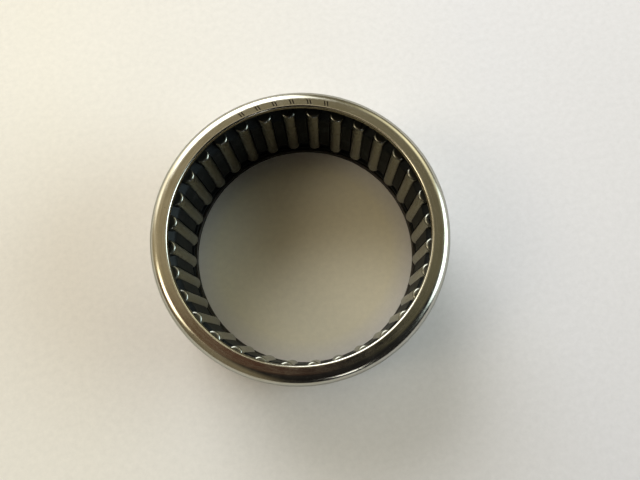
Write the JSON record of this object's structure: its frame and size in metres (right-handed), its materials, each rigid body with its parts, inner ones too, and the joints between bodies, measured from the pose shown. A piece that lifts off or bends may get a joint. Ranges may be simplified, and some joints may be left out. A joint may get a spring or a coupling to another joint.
{
  "type": "needle roller bearing",
  "caption": "Open drawn-cup needle roller bearing: a thin steel cup with a lip at each end, holding a sheet-steel cage of needles that roll on a shaft.",
  "frame": {"origin": "centre of the bearing, on its axis and halfway between its two end faces", "axes": "+Z along the bearing's axis, towards the marked end face; X and Y are radial"},
  "size_m": [0.047, 0.047, 0.02],
  "materials": {
    "cup_steel": "drawn and tumbled, case-hardened steel, semi-bright with fine turning marks and a warm oil tint",
    "cage_steel": "hardened sheet steel, dark blue-grey, oiled, matt",
    "needle_steel": "ground and lapped bearing steel, satin along the length with polished rounded ends"
  },
  "bodies": {
    "cup": {"drawn_cup": "cup_steel"},
    "cage": {"cage": "cage_steel"},
    "needle_01": {"needle_01": "needle_steel"},
    "needle_02": {"needle_02": "needle_steel"},
    "needle_03": {"needle_03": "needle_steel"},
    "needle_04": {"needle_04": "needle_steel"},
    "needle_05": {"needle_05": "needle_steel"},
    "needle_06": {"needle_06": "needle_steel"},
    "needle_07": {"needle_07": "needle_steel"},
    "needle_08": {"needle_08": "needle_steel"},
    "needle_09": {"needle_09": "needle_steel"},
    "needle_10": {"needle_10": "needle_steel"},
    "needle_11": {"needle_11": "needle_steel"},
    "needle_12": {"needle_12": "needle_steel"},
    "needle_13": {"needle_13": "needle_steel"},
    "needle_14": {"needle_14": "needle_steel"},
    "needle_15": {"needle_15": "needle_steel"},
    "needle_16": {"needle_16": "needle_steel"},
    "needle_17": {"needle_17": "needle_steel"},
    "needle_18": {"needle_18": "needle_steel"},
    "needle_19": {"needle_19": "needle_steel"},
    "needle_20": {"needle_20": "needle_steel"},
    "needle_21": {"needle_21": "needle_steel"},
    "needle_22": {"needle_22": "needle_steel"},
    "needle_23": {"needle_23": "needle_steel"},
    "needle_24": {"needle_24": "needle_steel"},
    "needle_25": {"needle_25": "needle_steel"},
    "needle_26": {"needle_26": "needle_steel"},
    "needle_27": {"needle_27": "needle_steel"},
    "needle_28": {"needle_28": "needle_steel"},
    "needle_29": {"needle_29": "needle_steel"},
    "needle_30": {"needle_30": "needle_steel"},
    "needle_31": {"needle_31": "needle_steel"},
    "needle_32": {"needle_32": "needle_steel"}
  },
  "joints": [
    {"name": "cage_spin", "type": "hinge", "parent": "cup", "child": "cage", "pos_m": [0, 0, 0], "axis": [0, 0, 1], "continuous": true},
    {"name": "needle_01_spin", "type": "hinge", "parent": "cage", "child": "needle_01", "pos_m": [0.02118, 0.00174, -0.0001], "axis": [0, 0, 1], "continuous": true},
    {"name": "needle_02_spin", "type": "hinge", "parent": "cage", "child": "needle_02", "pos_m": [0.02043, 0.00584, -0.0001], "axis": [0, 0, 1], "continuous": true},
    {"name": "needle_03_spin", "type": "hinge", "parent": "cage", "child": "needle_03", "pos_m": [0.0189, 0.00971, -0.0001], "axis": [0, 0, 1], "continuous": true},
    {"name": "needle_04_spin", "type": "hinge", "parent": "cage", "child": "needle_04", "pos_m": [0.01664, 0.01321, -0.0001], "axis": [0, 0, 1], "continuous": true},
    {"name": "needle_05_spin", "type": "hinge", "parent": "cage", "child": "needle_05", "pos_m": [0.01374, 0.01621, -0.0001], "axis": [0, 0, 1], "continuous": true},
    {"name": "needle_06_spin", "type": "hinge", "parent": "cage", "child": "needle_06", "pos_m": [0.01032, 0.01858, -0.0001], "axis": [0, 0, 1], "continuous": true},
    {"name": "needle_07_spin", "type": "hinge", "parent": "cage", "child": "needle_07", "pos_m": [0.0065, 0.02023, -0.0001], "axis": [0, 0, 1], "continuous": true},
    {"name": "needle_08_spin", "type": "hinge", "parent": "cage", "child": "needle_08", "pos_m": [0.00242, 0.02111, -0.0001], "axis": [0, 0, 1], "continuous": true},
    {"name": "needle_09_spin", "type": "hinge", "parent": "cage", "child": "needle_09", "pos_m": [-0.00174, 0.02118, -0.0001], "axis": [0, 0, 1], "continuous": true},
    {"name": "needle_10_spin", "type": "hinge", "parent": "cage", "child": "needle_10", "pos_m": [-0.00584, 0.02043, -0.0001], "axis": [0, 0, 1], "continuous": true},
    {"name": "needle_11_spin", "type": "hinge", "parent": "cage", "child": "needle_11", "pos_m": [-0.00971, 0.0189, -0.0001], "axis": [0, 0, 1], "continuous": true},
    {"name": "needle_12_spin", "type": "hinge", "parent": "cage", "child": "needle_12", "pos_m": [-0.01321, 0.01664, -0.0001], "axis": [0, 0, 1], "continuous": true},
    {"name": "needle_13_spin", "type": "hinge", "parent": "cage", "child": "needle_13", "pos_m": [-0.01621, 0.01374, -0.0001], "axis": [0, 0, 1], "continuous": true},
    {"name": "needle_14_spin", "type": "hinge", "parent": "cage", "child": "needle_14", "pos_m": [-0.01858, 0.01032, -0.0001], "axis": [0, 0, 1], "continuous": true},
    {"name": "needle_15_spin", "type": "hinge", "parent": "cage", "child": "needle_15", "pos_m": [-0.02023, 0.0065, -0.0001], "axis": [0, 0, 1], "continuous": true},
    {"name": "needle_16_spin", "type": "hinge", "parent": "cage", "child": "needle_16", "pos_m": [-0.02111, 0.00242, -0.0001], "axis": [0, 0, 1], "continuous": true},
    {"name": "needle_17_spin", "type": "hinge", "parent": "cage", "child": "needle_17", "pos_m": [-0.02118, -0.00174, -0.0001], "axis": [0, 0, 1], "continuous": true},
    {"name": "needle_18_spin", "type": "hinge", "parent": "cage", "child": "needle_18", "pos_m": [-0.02043, -0.00584, -0.0001], "axis": [0, 0, 1], "continuous": true},
    {"name": "needle_19_spin", "type": "hinge", "parent": "cage", "child": "needle_19", "pos_m": [-0.0189, -0.00971, -0.0001], "axis": [0, 0, 1], "continuous": true},
    {"name": "needle_20_spin", "type": "hinge", "parent": "cage", "child": "needle_20", "pos_m": [-0.01664, -0.01321, -0.0001], "axis": [0, 0, 1], "continuous": true},
    {"name": "needle_21_spin", "type": "hinge", "parent": "cage", "child": "needle_21", "pos_m": [-0.01374, -0.01621, -0.0001], "axis": [0, 0, 1], "continuous": true},
    {"name": "needle_22_spin", "type": "hinge", "parent": "cage", "child": "needle_22", "pos_m": [-0.01032, -0.01858, -0.0001], "axis": [0, 0, 1], "continuous": true},
    {"name": "needle_23_spin", "type": "hinge", "parent": "cage", "child": "needle_23", "pos_m": [-0.0065, -0.02023, -0.0001], "axis": [0, 0, 1], "continuous": true},
    {"name": "needle_24_spin", "type": "hinge", "parent": "cage", "child": "needle_24", "pos_m": [-0.00242, -0.02111, -0.0001], "axis": [0, 0, 1], "continuous": true},
    {"name": "needle_25_spin", "type": "hinge", "parent": "cage", "child": "needle_25", "pos_m": [0.00174, -0.02118, -0.0001], "axis": [0, 0, 1], "continuous": true},
    {"name": "needle_26_spin", "type": "hinge", "parent": "cage", "child": "needle_26", "pos_m": [0.00584, -0.02043, -0.0001], "axis": [0, 0, 1], "continuous": true},
    {"name": "needle_27_spin", "type": "hinge", "parent": "cage", "child": "needle_27", "pos_m": [0.00971, -0.0189, -0.0001], "axis": [0, 0, 1], "continuous": true},
    {"name": "needle_28_spin", "type": "hinge", "parent": "cage", "child": "needle_28", "pos_m": [0.01321, -0.01664, -0.0001], "axis": [0, 0, 1], "continuous": true},
    {"name": "needle_29_spin", "type": "hinge", "parent": "cage", "child": "needle_29", "pos_m": [0.01621, -0.01374, -0.0001], "axis": [0, 0, 1], "continuous": true},
    {"name": "needle_30_spin", "type": "hinge", "parent": "cage", "child": "needle_30", "pos_m": [0.01858, -0.01032, -0.0001], "axis": [0, 0, 1], "continuous": true},
    {"name": "needle_31_spin", "type": "hinge", "parent": "cage", "child": "needle_31", "pos_m": [0.02023, -0.0065, -0.0001], "axis": [0, 0, 1], "continuous": true},
    {"name": "needle_32_spin", "type": "hinge", "parent": "cage", "child": "needle_32", "pos_m": [0.02111, -0.00242, -0.0001], "axis": [0, 0, 1], "continuous": true}
  ],
  "couplings": [
    {"joint": "needle_01_spin", "follows": "cage_spin", "ratio": -18},
    {"joint": "needle_02_spin", "follows": "cage_spin", "ratio": -18},
    {"joint": "needle_03_spin", "follows": "cage_spin", "ratio": -18},
    {"joint": "needle_04_spin", "follows": "cage_spin", "ratio": -18},
    {"joint": "needle_05_spin", "follows": "cage_spin", "ratio": -18},
    {"joint": "needle_06_spin", "follows": "cage_spin", "ratio": -18},
    {"joint": "needle_07_spin", "follows": "cage_spin", "ratio": -18},
    {"joint": "needle_08_spin", "follows": "cage_spin", "ratio": -18},
    {"joint": "needle_09_spin", "follows": "cage_spin", "ratio": -18},
    {"joint": "needle_10_spin", "follows": "cage_spin", "ratio": -18},
    {"joint": "needle_11_spin", "follows": "cage_spin", "ratio": -18},
    {"joint": "needle_12_spin", "follows": "cage_spin", "ratio": -18},
    {"joint": "needle_13_spin", "follows": "cage_spin", "ratio": -18},
    {"joint": "needle_14_spin", "follows": "cage_spin", "ratio": -18},
    {"joint": "needle_15_spin", "follows": "cage_spin", "ratio": -18},
    {"joint": "needle_16_spin", "follows": "cage_spin", "ratio": -18},
    {"joint": "needle_17_spin", "follows": "cage_spin", "ratio": -18},
    {"joint": "needle_18_spin", "follows": "cage_spin", "ratio": -18},
    {"joint": "needle_19_spin", "follows": "cage_spin", "ratio": -18},
    {"joint": "needle_20_spin", "follows": "cage_spin", "ratio": -18},
    {"joint": "needle_21_spin", "follows": "cage_spin", "ratio": -18},
    {"joint": "needle_22_spin", "follows": "cage_spin", "ratio": -18},
    {"joint": "needle_23_spin", "follows": "cage_spin", "ratio": -18},
    {"joint": "needle_24_spin", "follows": "cage_spin", "ratio": -18},
    {"joint": "needle_25_spin", "follows": "cage_spin", "ratio": -18},
    {"joint": "needle_26_spin", "follows": "cage_spin", "ratio": -18},
    {"joint": "needle_27_spin", "follows": "cage_spin", "ratio": -18},
    {"joint": "needle_28_spin", "follows": "cage_spin", "ratio": -18},
    {"joint": "needle_29_spin", "follows": "cage_spin", "ratio": -18},
    {"joint": "needle_30_spin", "follows": "cage_spin", "ratio": -18},
    {"joint": "needle_31_spin", "follows": "cage_spin", "ratio": -18},
    {"joint": "needle_32_spin", "follows": "cage_spin", "ratio": -18}
  ]
}
